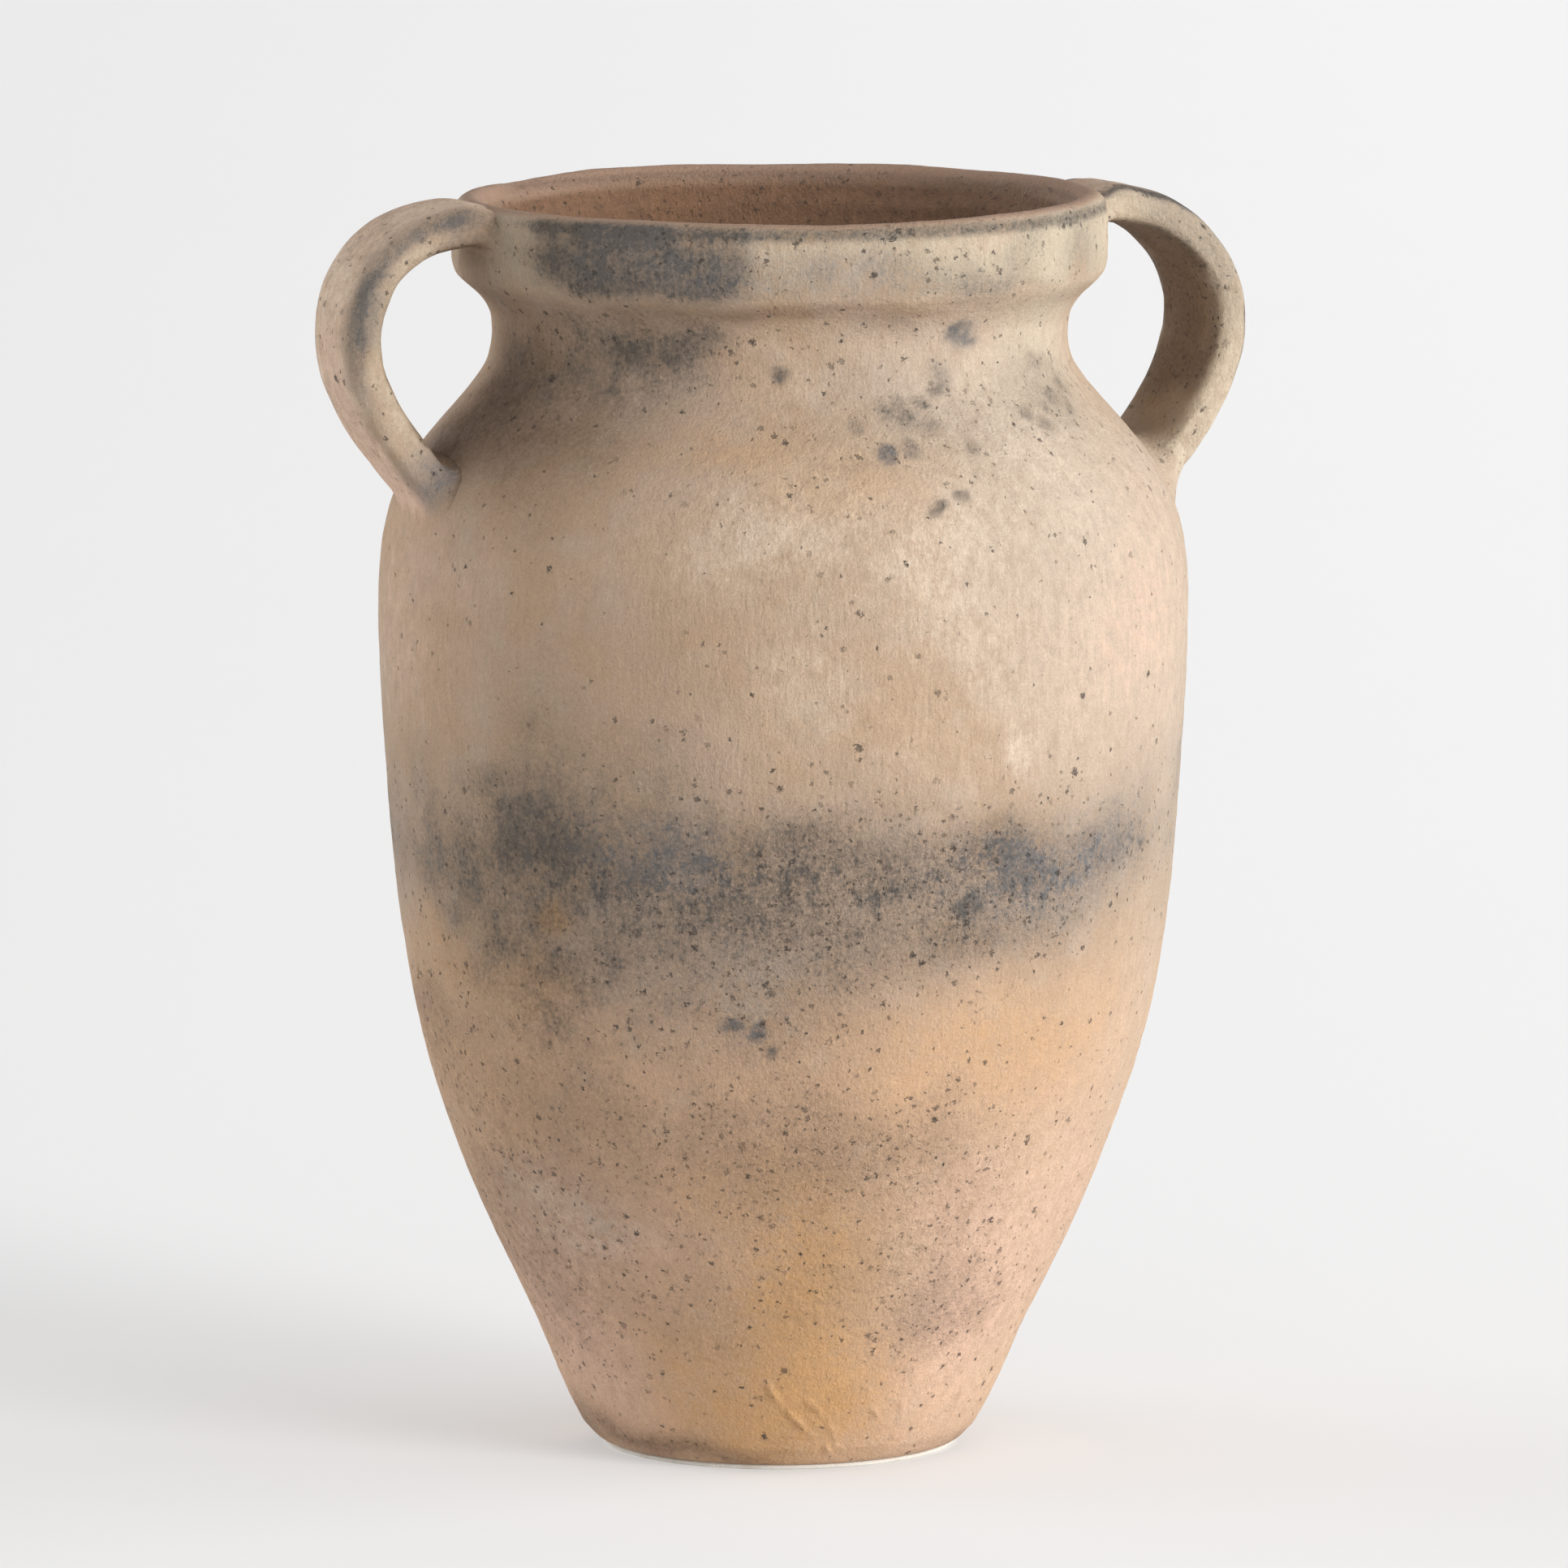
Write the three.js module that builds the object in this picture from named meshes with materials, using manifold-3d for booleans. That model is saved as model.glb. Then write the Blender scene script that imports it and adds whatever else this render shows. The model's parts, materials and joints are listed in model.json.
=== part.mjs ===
// A two-handled terracotta amphora, built as a potter builds it: a foot slab, thrown wall sections
// luted end to end, a thick rim collar, two strap handles, and the clay that is pressed into the
// corners where each handle lands. A thin felt disc under the foot keeps it off the furniture.
//
// Millimetres, +Z up, origin at the centre of the underside. The handles stand along -X and +X.

import * as THREE from "three";
import { ParametricGeometry } from "three/addons/geometries/ParametricGeometry.js";
import { mergeVertices } from "three/addons/utils/BufferGeometryUtils.js";
import Module from "manifold-3d";

// ---- Driving dimensions ----

const RIM_HEIGHT = 508; // crest of the lip above the ground

const PAD_THICKNESS = 2;
const PAD_RADIUS = 71.5;

const FOOT_RADIUS = 74; // edge of the foot on the pad
const FOOT_BEVEL_TOP = 9; // height where the bevel meets the wall
const FLOOR_HEIGHT = 16; // inside floor, and the top of the foot slab

const WALL = 9.5; // thickness of the thrown wall, square to its surface
const JOINT_GAP = 0.3; // room for the slip between a handle's clay and the pot

// Outside outline of the pot as [radius, height], from the foot slab up to the collar. The curve
// runs smoothly through these stations, and the sections part at the stations named below.
const OUTLINE = [
  [83.6, 16],
  [98.5, 50],
  [117.5, 90],
  [134, 130],
  [146.5, 170],
  [154.5, 215],
  [159, 260],
  [162.3, 305],
  [163.5, 345],
  [160.8, 373],
  [153, 394],
  [141.5, 411],
  [127.5, 427],
  [118.3, 440],
  [115.8, 451],
  [116.5, 460],
];
const BELLY_SEAM = 6; // station where the lower and upper thrown sections are luted
const NECK_SEAM = 12;
const COLLAR_SEAM = OUTLINE.length - 1;
const LOWER_STEPS = 1; // steps between stations below the belly seam
const UPPER_STEPS = 2;

// Rim collar
const COLLAR_RADIUS = 131.5;
const COLLAR_FOOT = 477; // height of the collar's lower corner
const CREST_RADIUS = 124.5; // circle along the top of the lip
const LIP_ROUND = 9; // how far below the crest the outside corner starts to round over
const THROAT_RADIUS = 106; // clear radius inside the neck

// Strap handles. Each centre line is [distance from the pot's axis, height]. Its two ends run on
// inside the pot, where the strap is cut off along the wall. The pot is made by hand: its right
// handle is a little larger, and twists back as it leaves the collar.
const HANDLES = [
  {
    side: "left",
    turn: 180, // degrees round the pot from +X
    twist: 0, // degrees that the strap swings back about its root on the collar
    width: 50,
    thickness: 17,
    line: [
      [112, 498.6],
      [140, 500.2],
      [158.2, 495.4],
      [173.3, 482.2],
      [181.2, 463],
      [180.9, 445.9],
      [174.1, 428.4],
      [162.5, 410.1],
      [147.1, 390.8],
      [133, 373],
    ],
  },
  {
    side: "right",
    turn: 2,
    twist: 6,
    width: 53,
    thickness: 15,
    line: [
      [112, 499.6],
      [140, 499.4],
      [157.9, 494.6],
      [174.1, 482.9],
      [185.4, 464.2],
      [186.8, 445],
      [180.1, 425.2],
      [167.7, 406.2],
      [151.2, 387.5],
      [136, 370],
    ],
  },
];
const STRAP_SQUARENESS = 6; // 2 is an ellipse; larger is closer to a rectangle
const STRAP_STEPS = 34;

// Clay pressed into the corner around a handle's root
const UPPER_FILLET = 8; // at the collar, under the strap and beside it; its top runs into the lip
const LOWER_FILLET = 9; // at the shoulder, beside the strap
const LOWER_FILLET_SPREAD = 4; // added under the outer face, and taken off in the finger gap
const FILLET_ARC_STEPS = 4;

const TURNS = 64; // facets around the pot
const CURVE_STEPS = 3; // facets along each curve of the collar
const STRAP_FACETS = 28; // facets around the strap

const COLOURS = {
  wall: 0xc9a886,
  collar: 0xa3947c,
  handle: 0xb99c7b,
  felt: 0xcfccc5,
};

// ---- Outline ----

const outlineCurve = new THREE.SplineCurve(OUTLINE.map(([r, z]) => new THREE.Vector2(r, z)));

// Points of the outside outline from one station to another, with the inside point level with each.
function wallSection(fromStation, toStation) {
  const spans = OUTLINE.length - 1;
  const perStation = fromStation < BELLY_SEAM ? LOWER_STEPS : UPPER_STEPS;
  const steps = (toStation - fromStation) * perStation;
  const outside = [];
  const inside = [];
  for (let i = 0; i <= steps; i++) {
    const t = (fromStation + i / perStation) / spans;
    const point = outlineCurve.getPoint(t);
    const level = WALL / Math.abs(outlineCurve.getTangent(t).y);
    outside.push(point);
    inside.push(new THREE.Vector2(point.x - level, point.y));
  }
  return { outside, inside };
}

// The collar's outside, from its seam with the neck up to the crest of the lip.
function collarOutside() {
  const path = new THREE.Path();
  const seam = OUTLINE[COLLAR_SEAM];
  path.moveTo(seam[0], seam[1]);
  path.quadraticCurveTo(seam[0] + 2, seam[1] + 6, COLLAR_RADIUS - 5, COLLAR_FOOT - 5);
  path.quadraticCurveTo(COLLAR_RADIUS, COLLAR_FOOT - 1, COLLAR_RADIUS, COLLAR_FOOT + 5);
  path.lineTo(COLLAR_RADIUS, RIM_HEIGHT - LIP_ROUND);
  path.quadraticCurveTo(COLLAR_RADIUS, RIM_HEIGHT, CREST_RADIUS, RIM_HEIGHT);
  return path.getPoints(CURVE_STEPS);
}

// The collar's inside, from the crest of the lip down the flare to its seam with the neck.
function collarInside() {
  const path = new THREE.Path();
  const seamHeight = OUTLINE[COLLAR_SEAM][1];
  path.moveTo(CREST_RADIUS, RIM_HEIGHT);
  path.quadraticCurveTo(CREST_RADIUS - 6, RIM_HEIGHT, CREST_RADIUS - 9, RIM_HEIGHT - 6);
  path.quadraticCurveTo(THROAT_RADIUS + 1, RIM_HEIGHT - 22, THROAT_RADIUS, RIM_HEIGHT - 36);
  path.lineTo(THROAT_RADIUS, seamHeight);
  return path.getPoints(CURVE_STEPS);
}

const pottedOutside = [
  ...wallSection(0, BELLY_SEAM).outside,
  ...wallSection(BELLY_SEAM, COLLAR_SEAM).outside.slice(1),
  ...collarOutside().slice(1),
];

// Radius of the pot's outside at a height, along the same straight facets as the pieces have.
function outsideRadius(z) {
  const above = pottedOutside.findIndex((p) => p.y >= z);
  if (above < 0) return pottedOutside.at(-1).x - (z - RIM_HEIGHT) * 100;
  if (above === 0) return pottedOutside[0].x;
  const [low, high] = [pottedOutside[above - 1], pottedOutside[above]];
  return low.x + ((high.x - low.x) * (z - low.y)) / (high.y - low.y || 1);
}

// ---- Turned pieces ----

function turned(profile) {
  return new THREE.LatheGeometry([...profile, profile[0]], TURNS).rotateX(Math.PI / 2);
}

function wallRing(fromStation, toStation) {
  const { outside, inside } = wallSection(fromStation, toStation);
  return turned([...outside, ...inside.reverse()]);
}

function collarRing() {
  return turned([...collarOutside(), ...collarInside().slice(1)]);
}

function neckRing() {
  const { outside, inside } = wallSection(NECK_SEAM, COLLAR_SEAM);
  inside.at(-1).x = THROAT_RADIUS; // meets the collar's inside without a step
  return turned([...outside, ...inside.reverse()]);
}

function footSlab() {
  const [topRadius, topHeight] = OUTLINE[0];
  const slope = (OUTLINE[1][0] - topRadius) / (OUTLINE[1][1] - topHeight);
  const bevelRadius = topRadius - slope * (FLOOR_HEIGHT - FOOT_BEVEL_TOP);
  const profile = [
    new THREE.Vector2(0, FLOOR_HEIGHT),
    new THREE.Vector2(topRadius, FLOOR_HEIGHT),
    new THREE.Vector2(bevelRadius, FOOT_BEVEL_TOP),
    new THREE.Vector2(FOOT_RADIUS, PAD_THICKNESS),
    new THREE.Vector2(0, PAD_THICKNESS),
  ];
  return new THREE.LatheGeometry(profile.reverse(), TURNS).rotateX(Math.PI / 2);
}

function basePad() {
  const disc = new THREE.CylinderGeometry(PAD_RADIUS, PAD_RADIUS, PAD_THICKNESS, TURNS);
  return disc.rotateX(Math.PI / 2).translate(0, 0, PAD_THICKNESS / 2);
}

// ---- Strap handles ----

// A function that gives the points of one strap's surface: s runs along it from collar to shoulder,
// and turn goes once around its section. grow moves the point out from the surface.
function strapSurface({ line, width, thickness, turn: round, twist }) {
  const curve = new THREE.CatmullRomCurve3(line.map(([x, z]) => new THREE.Vector3(x, 0, z)));
  const power = STRAP_SQUARENESS;
  const up = new THREE.Vector3(0, 0, 1);
  const root = new THREE.Vector3(COLLAR_RADIUS, 0, 0);
  const point = (s, turn, grow = 0, scale = 1) => {
    const centre = curve.getPointAt(s);
    const along = curve.getTangentAt(s);
    const angle = (turn % 1) * 2 * Math.PI;
    const c = Math.cos(angle);
    const n = Math.sin(angle);
    const reach = scale / (Math.abs(c) ** power + Math.abs(n) ** power) ** (1 / power);
    const wide = c * reach * (width / 2 + grow);
    const thick = n * reach * (thickness / 2 + grow);
    return new THREE.Vector3(centre.x - along.z * thick, wide, centre.z + along.x * thick)
      .sub(root)
      .applyAxisAngle(up, THREE.MathUtils.degToRad(twist))
      .add(root)
      .applyAxisAngle(up, THREE.MathUtils.degToRad(round));
  };
  return { point, length: curve.getLength() };
}

function strap({ point }) {
  const rings = STRAP_STEPS + 2; // the first and last ring shrink to the centre line, as end caps
  const surface = (turn, v, target) => {
    const ring = Math.round(v * rings);
    const s = Math.min(Math.max((ring - 1) / STRAP_STEPS, 0), 1);
    target.copy(point(s, turn, 0, ring === 0 || ring === rings ? 0 : 1));
  };
  return new ParametricGeometry(surface, STRAP_FACETS, rings);
}

// ---- Clay around a handle's root ----

// How far a point stands out from the pot's surface, measured level.
function standOff(p) {
  return Math.hypot(p.x, p.y) - outsideRadius(p.z);
}

// Outward direction of the pot's surface at a point.
function potNormal(p) {
  const step = 0.5;
  const slope = (outsideRadius(p.z + step) - outsideRadius(p.z - step)) / (2 * step);
  const flat = Math.hypot(p.x, p.y);
  return new THREE.Vector3(p.x / flat, p.y / flat, -slope).normalize();
}

// How far along the strap its edge line at this turn meets the pot, on the way from the middle of
// the strap to the end of the line given.
function landing(point, turn, end) {
  let clear = 0.5;
  let buried = end;
  for (let i = 0; i < 30; i++) {
    const middle = (clear + buried) / 2;
    if (standOff(point(middle, turn)) > 0) clear = middle;
    else buried = middle;
  }
  return clear;
}

// A ring of clay with a hollow face. size gives its leg length at each turn around the strap, and
// where that falls to nothing, the ring closes to a point.
function rootFillet({ point, length }, end, size) {
  const sides = FILLET_ARC_STEPS + 2;
  const away = end === 0 ? 1 : -1;
  const surface = (u, v, target) => {
    const turn = end === 0 ? u : 1 - u; // keeps the faces pointing out at either end
    const s = landing(point, turn, end);
    const root = point(s, turn);
    const normal = potNormal(root);
    const outFromStrap = point(s, turn, 1).sub(root).normalize();
    const along = outFromStrap.clone().addScaledVector(normal, -outFromStrap.dot(normal));
    const leg = size(turn);
    const side = Math.round(v * sides) % sides;
    // The hollow face bends from along the pot, at share 0, to along the strap, at share 1. Side 0
    // is the corner itself.
    const share = (side - 1) / FILLET_ARC_STEPS;
    const [onPot, onStrap] = side === 0 ? [0, 0] : [leg * (1 - share) ** 2, leg * share ** 2];
    target.copy(point(s + (away * onStrap) / length, turn, JOINT_GAP));
    target.addScaledVector(along.normalize(), onPot);
    const lift = JOINT_GAP * 1.4 - standOff(target);
    if (lift > 0 || onStrap === 0) target.addScaledVector(potNormal(target), lift);
  };
  return new ParametricGeometry(surface, STRAP_FACETS, sides);
}

// ---- Cutting with manifold-3d ----

const wasm = await Module();
wasm.setup();

function toSolid(geometry) {
  const bare = geometry.clone();
  bare.deleteAttribute("normal");
  bare.deleteAttribute("uv");
  const merged = mergeVertices(bare, 1e-3);
  return new wasm.Manifold(
    new wasm.Mesh({
      numProp: 3,
      vertProperties: merged.attributes.position.array,
      triVerts: new Uint32Array(merged.index.array),
    }),
  );
}

function toGeometry(solid) {
  const mesh = solid.getMesh();
  const geometry = new THREE.BufferGeometry();
  geometry.setAttribute("position", new THREE.BufferAttribute(mesh.vertProperties, 3));
  geometry.setIndex(new THREE.BufferAttribute(mesh.triVerts, 1));
  geometry.computeVertexNormals();
  return geometry;
}

// The whole pot as one solid without its hollow, grown by the joint gap. Straps are cut back to it.
function potCutter() {
  const grown = pottedOutside.map((p) => new THREE.Vector2(p.x + JOINT_GAP * 1.5, p.y));
  const base = new THREE.Vector2(0, grown[0].y);
  const top = [
    new THREE.Vector2(CREST_RADIUS, RIM_HEIGHT + JOINT_GAP),
    new THREE.Vector2(0, RIM_HEIGHT + JOINT_GAP),
  ];
  return new THREE.LatheGeometry([base, ...grown, ...top], TURNS).rotateX(Math.PI / 2);
}

// ---- Assembly ----

const clay = (color) => new THREE.MeshStandardMaterial({ color, roughness: 0.95, metalness: 0 });
const wallClay = clay(COLOURS.wall);
const collarClay = clay(COLOURS.collar);
const handleClay = clay(COLOURS.handle);
const felt = clay(COLOURS.felt);

function piece(name, geometry, material) {
  const mesh = new THREE.Mesh(geometry, material);
  mesh.name = name;
  return mesh;
}

const amphora = new THREE.Group();
amphora.add(
  piece("base_pad", basePad(), felt),
  piece("foot_slab", footSlab(), wallClay),
  piece("lower_wall", wallRing(0, BELLY_SEAM), wallClay),
  piece("upper_wall", wallRing(BELLY_SEAM, NECK_SEAM), wallClay),
  piece("neck", neckRing(), wallClay),
  piece("rim_collar", collarRing(), collarClay),
);

const cutter = toSolid(potCutter());
const sine = (turn) => Math.sin(turn * 2 * Math.PI); // 1 on a strap's outer face, -1 on its inner
const upperSize = (turn) => UPPER_FILLET * THREE.MathUtils.clamp(1.2 - 2 * sine(turn), 0, 1);
const lowerSize = (turn) => LOWER_FILLET + LOWER_FILLET_SPREAD * sine(turn);
for (const spec of HANDLES) {
  const surface = strapSurface(spec);
  const [outer] = toSolid(strap(surface)).subtract(cutter).decompose();
  amphora.add(
    piece(`${spec.side}_handle`, toGeometry(outer), handleClay),
    piece(`${spec.side}_handle_upper_fillet`, rootFillet(surface, 0, upperSize), handleClay),
    piece(`${spec.side}_handle_lower_fillet`, rootFillet(surface, 1, lowerSize), handleClay),
  );
}

export default amphora;
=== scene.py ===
"""The look of a two-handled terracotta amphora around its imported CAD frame.

Every visible CAD piece is replaced by a finer, hand-thrown version of itself. The pot's wall is one
surface, cut into the CAD's pieces along the CAD's seams. Lengths are in millimetres until a mesh is
made. Angles round the pot called "facing" are measured from the side that faces the camera, to the
right when positive.
"""

import json
import math

import bpy
import numpy as np
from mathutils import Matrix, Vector


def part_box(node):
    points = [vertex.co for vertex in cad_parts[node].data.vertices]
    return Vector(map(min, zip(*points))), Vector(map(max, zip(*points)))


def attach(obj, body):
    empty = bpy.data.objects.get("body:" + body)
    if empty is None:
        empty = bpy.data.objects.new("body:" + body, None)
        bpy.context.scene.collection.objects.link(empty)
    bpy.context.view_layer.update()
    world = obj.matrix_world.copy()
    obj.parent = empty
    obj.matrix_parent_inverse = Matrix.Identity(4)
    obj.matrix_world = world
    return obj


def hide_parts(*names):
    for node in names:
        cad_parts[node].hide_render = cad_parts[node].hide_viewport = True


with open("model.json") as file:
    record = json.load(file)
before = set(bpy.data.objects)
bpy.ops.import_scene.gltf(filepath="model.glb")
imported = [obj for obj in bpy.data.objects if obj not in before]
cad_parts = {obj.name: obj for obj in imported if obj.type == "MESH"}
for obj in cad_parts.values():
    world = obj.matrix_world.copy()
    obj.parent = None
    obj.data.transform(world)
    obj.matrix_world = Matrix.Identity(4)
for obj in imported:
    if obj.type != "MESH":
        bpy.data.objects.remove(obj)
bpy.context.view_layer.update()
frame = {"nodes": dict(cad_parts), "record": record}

MM = 0.001
SEED = 17

# ---- Camera and the side it sees ----

VIEW_AZIMUTH = math.radians(-19.0)
VIEW_PITCH = math.radians(7.83)
CAMERA_DISTANCE = 6100.0
CAMERA_HEIGHT = 1107.0
CAMERA_ASIDE = 1.0  # the pot's axis stands this far left of the picture's middle
LENS = 350.2
CAMERA_SEES = 100.0  # metres
RIGHT = np.array([math.cos(VIEW_AZIMUTH), math.sin(VIEW_AZIMUTH), 0.0])
TOWARDS = np.array([math.sin(VIEW_AZIMUTH), -math.cos(VIEW_AZIMUTH), 0.0])

camera = bpy.data.objects.new("camera", bpy.data.cameras.new("camera"))
camera.data.lens = LENS
camera.data.sensor_width = 36.0
camera.data.clip_end = CAMERA_SEES
place = TOWARDS * CAMERA_DISTANCE + RIGHT * CAMERA_ASIDE
camera.location = Vector((place[0], place[1], CAMERA_HEIGHT)) * MM
camera.rotation_euler = (math.pi / 2 - VIEW_PITCH, 0.0, VIEW_AZIMUTH)
bpy.context.scene.collection.objects.link(camera)
bpy.context.scene.camera = camera


# ---- Smooth noise, the same each run ----

def lattice(cell, seed):
    """A fixed random number from 0 to 1 for each whole-numbered cell."""
    x, y, z = (cell[..., k].astype(np.int64) & 0xFFFFFFFF for k in range(3))
    h = (x * 374761393 + y * 668265263 + z * 2147483647 + seed * 1274126177) & 0xFFFFFFFF
    h = ((h ^ (h >> 13)) * 1274126177) & 0xFFFFFFFF
    h = ((h ^ (h >> 16)) * 2246822519) & 0xFFFFFFFF
    return ((h ^ (h >> 15)) & 0xFFFFFF) / float(0x1000000)


def noise(points, size, seed):
    """Noise from -1 to 1 whose lumps are about size across."""
    p = points / size + 37.2
    cell = np.floor(p)
    f = p - cell
    f = f * f * f * (f * (f * 6 - 15) + 10)
    total = 0.0
    for dx in (0, 1):
        for dy in (0, 1):
            for dz in (0, 1):
                corner = lattice(cell + np.array([dx, dy, dz]), seed)
                wx = f[..., 0] if dx else 1 - f[..., 0]
                wy = f[..., 1] if dy else 1 - f[..., 1]
                wz = f[..., 2] if dz else 1 - f[..., 2]
                total = total + corner * wx * wy * wz
    return total * 2 - 1


def fractal(points, size, seed, octaves=3):
    """Noise with finer and weaker noise on top of it."""
    total, weight = 0.0, 1.0
    for octave in range(octaves):
        total = total + weight * noise(points, size / 2 ** octave, seed + octave)
        weight *= 0.5
    return total


def smoothstep(x, low, high):
    """0 up to low, 1 from high on, and a soft curve between."""
    t = np.clip((x - low) / (high - low), 0, 1)
    return t * t * (3 - 2 * t)


# ---- Curves ----

def unit(v):
    """Vectors of the same directions, one long."""
    return v / np.maximum(np.linalg.norm(v, axis=-1), 1e-9)[..., None]


def distances(points):
    """How far each point lies from the first, measured along the points."""
    return np.r_[0, np.cumsum(np.linalg.norm(np.diff(points, axis=0), axis=1))]


def curve(points, t):
    """Places at distances t along a smooth curve through the points."""
    at = distances(points)
    slopes = np.gradient(points, at, axis=0)
    i = np.clip(np.searchsorted(at, t, side="right") - 1, 0, len(at) - 2)
    h = (at[i + 1] - at[i])[:, None]
    u = (t - at[i])[:, None] / h
    return (
        (2 * u**3 - 3 * u**2 + 1) * points[i] + (u**3 - 2 * u**2 + u) * slopes[i] * h
        + (3 * u**2 - 2 * u**3) * points[i + 1] + (u**3 - u**2) * slopes[i + 1] * h
    )


# ---- The pot's section, read off the CAD rings ----

def rings(node):
    """(heights, largest radii, smallest radii) of a turned CAD node's rings."""
    co = np.array([v.co for v in frame["nodes"][node].data.vertices]) / MM
    radius = np.hypot(co[:, 0], co[:, 1])
    height = np.round(co[:, 2], 1)
    levels = np.unique(height)
    largest = [radius[height == level].max() for level in levels]
    smallest = [radius[height == level].min() for level in levels]
    return levels, largest, smallest


outer_stations, inner_stations = {}, {}
for node in ("lower_wall", "upper_wall", "neck"):
    for level, large, small in zip(*rings(node)):
        outer_stations[float(level)] = large
        inner_stations[float(level)] = small
levels = sorted(outer_stations)
FLOOR_TOP = levels[0]
BELLY_SEAM = float(rings("lower_wall")[0][-1])
NECK_SEAM = float(rings("upper_wall")[0][-1])
COLLAR_SEAM = levels[-1]
COLLAR_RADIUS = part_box("rim_collar")[1].x / MM
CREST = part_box("rim_collar")[1].z / MM
PAD_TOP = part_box("base_pad")[1].z / MM
PAD_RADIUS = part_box("base_pad")[1].x / MM

R0 = COLLAR_RADIUS
UNDERSIDE = [(0, PAD_TOP), (35, PAD_TOP), (62, PAD_TOP), (71.4, PAD_TOP + 0.1)]
BEVEL = [(73.9, PAD_TOP + 1.2), (75.6, 4.6), (78.0, 7.2), (80.2, 9.6), (81.6, 12.2)]
COLLAR = [
    (118.4, 464.2), (121.8, 468.8), (126.4, 473.0), (R0 - 1.6, 476.8), (R0 - 0.2, 481.0),
    (R0 + 0.2, 487.0), (R0, 494.0), (R0 - 0.3, 499.5), (R0 - 1.0, CREST - 5.0),
    (R0 - 1.9, CREST - 2.6), (R0 - 3.6, CREST - 1.0), (125.6, CREST), (122.6, CREST - 0.4),
    (120.4, CREST - 2.0), (119.0, CREST - 5.0), (117.4, 498.0), (114.8, 490.5), (111.8, 482.0),
    (109.2, 474.0), (107.2, 466.5),
]
FLOOR = [(66, FLOOR_TOP), (40, FLOOR_TOP), (0, FLOOR_TOP)]

stations = UNDERSIDE + BEVEL
marks = {"foot_out": len(stations)}
stations += [(outer_stations[z], z) for z in levels]
marks["collar_out"] = len(stations) - 1
stations += COLLAR
marks["collar_in"] = len(stations)
stations += [(inner_stations[z], z) for z in reversed(levels)]
marks["foot_in"] = len(stations) - 1
stations += FLOOR
stations = np.array(stations, float)
for name, level in (("belly", BELLY_SEAM), ("neck", NECK_SEAM)):
    at = levels.index(level)
    marks[name + "_out"] = marks["foot_out"] + at
    marks[name + "_in"] = marks["foot_in"] - at

FINE_BELOW = 60  # the outside has finer rows below this height, where the boldest raised seams are
marks["low_out"] = marks["foot_out"] + int(np.searchsorted(levels, FINE_BELOW))

along = distances(stations)

# Places on the lip, as COLLAR's points counted from 1, and their distances along the section
LIP_POINTS = {"outer_side": 9, "outer_edge": 10, "crest": 12, "inner_edge": 14, "inner_side": 15, "mouth": 16}
lip_at = {name: along[marks["collar_out"] + count] for name, count in LIP_POINTS.items()}

# Rows of the wall grid: (piece boundary, spacing of the rows up to the next boundary)
SPANS = [
    (0, 9.0), (len(UNDERSIDE) - 1, 1.0), (marks["foot_out"], 1.3), (marks["low_out"], 2.1),
    (marks["belly_out"], 1.9), (marks["neck_out"], 1.7), (marks["collar_out"], 1.0),
    (marks["collar_in"], 2.6), (marks["neck_in"], 4.0), (marks["belly_in"], 5.0), (marks["foot_in"], 6.0),
    (len(stations) - 1, None),
]
row_at, rows = {}, []
for (start, spacing), (end, _) in zip(SPANS, SPANS[1:]):
    row_at[start] = len(rows)
    count = max(2, round((along[end] - along[start]) / spacing))
    rows += list(np.linspace(along[start], along[end], count + 1)[:-1])
row_at[len(stations) - 1] = len(rows)
rows.append(along[-1])
rows = np.array(rows)
profile = curve(stations, rows)
OUTER = (rows >= along[len(UNDERSIDE) - 1]) & (rows <= lip_at["outer_edge"])


# ---- Handwork: how the real surface strays from a turned one ----

# How far the pot drifts to the right of its axis: (heights, distances)
LEAN = ([0, 90, 230, 360, 440, 508], [-0.8, -0.2, 0.7, 0.6, -0.7, -0.8])

# Swellings, and dents (rise below 0): (facing degrees, height, half width, half height, rise)
DENTS = [
    (-38, 236, 30, 24, -0.9), (24, 310, 34, 30, -0.7), (48, 180, 30, 36, 0.8), (-12, 132, 26, 20, -0.8),
    (-62, 330, 30, 40, 0.7), (6, 402, 26, 16, -0.7), (-28, 438, 22, 10, 0.7), (118, 250, 40, 30, -1.0),
    (170, 340, 34, 26, 0.8), (-140, 200, 36, 40, -0.8), (205, 120, 26, 30, 0.7), (150, 440, 24, 10, -0.7),
]

# Raised seams of clay, as strokes: (facing degrees and height of each point), strength
STROKE_RISE = 2.0  # rise of a stroke of strength 1
STROKE_SPREAD = 1.15  # square of a stroke's half width
STROKES = [
    ([(-3, 39), (-1, 32), (4, 23), (9, 16), (14, 9)], 0.75),
    ([(7, 31), (11, 25), (14.5, 17), (16, 11)], 0.5),
    ([(22, 36), (23, 30), (26.5, 23)], 0.65),
    ([(33, 28), (34.5, 20), (34, 13)], 0.5),
    ([(53, 33), (55, 25), (54, 18)], 0.4),
    ([(2, 81), (3, 74), (6, 64)], 0.4),
    ([(8, 77), (7.5, 70), (9.5, 64)], 0.35),
    ([(21, 104), (19.5, 97), (20.5, 90)], 0.4),
    ([(-56, 192), (-66, 196), (-79, 194)], 0.5),
    ([(-44, 188), (-56, 190)], 0.35),
    ([(140, 60), (146, 44), (152, 30)], 0.7),
    ([(201, 80), (206, 62), (212, 48)], 0.6),
    ([(95, 150), (112, 156), (121, 152)], 0.5),
]


def facing_to_angle(degrees):
    """Angle round the pot's axis, in the row frame, of a facing direction."""
    return math.radians(degrees) + VIEW_AZIMUTH - math.pi / 2


def outer_radius(height):
    """Radius of the smooth outer section at a height below the crest."""
    return np.interp(height, profile[OUTER, 1], profile[OUTER, 0])


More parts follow.
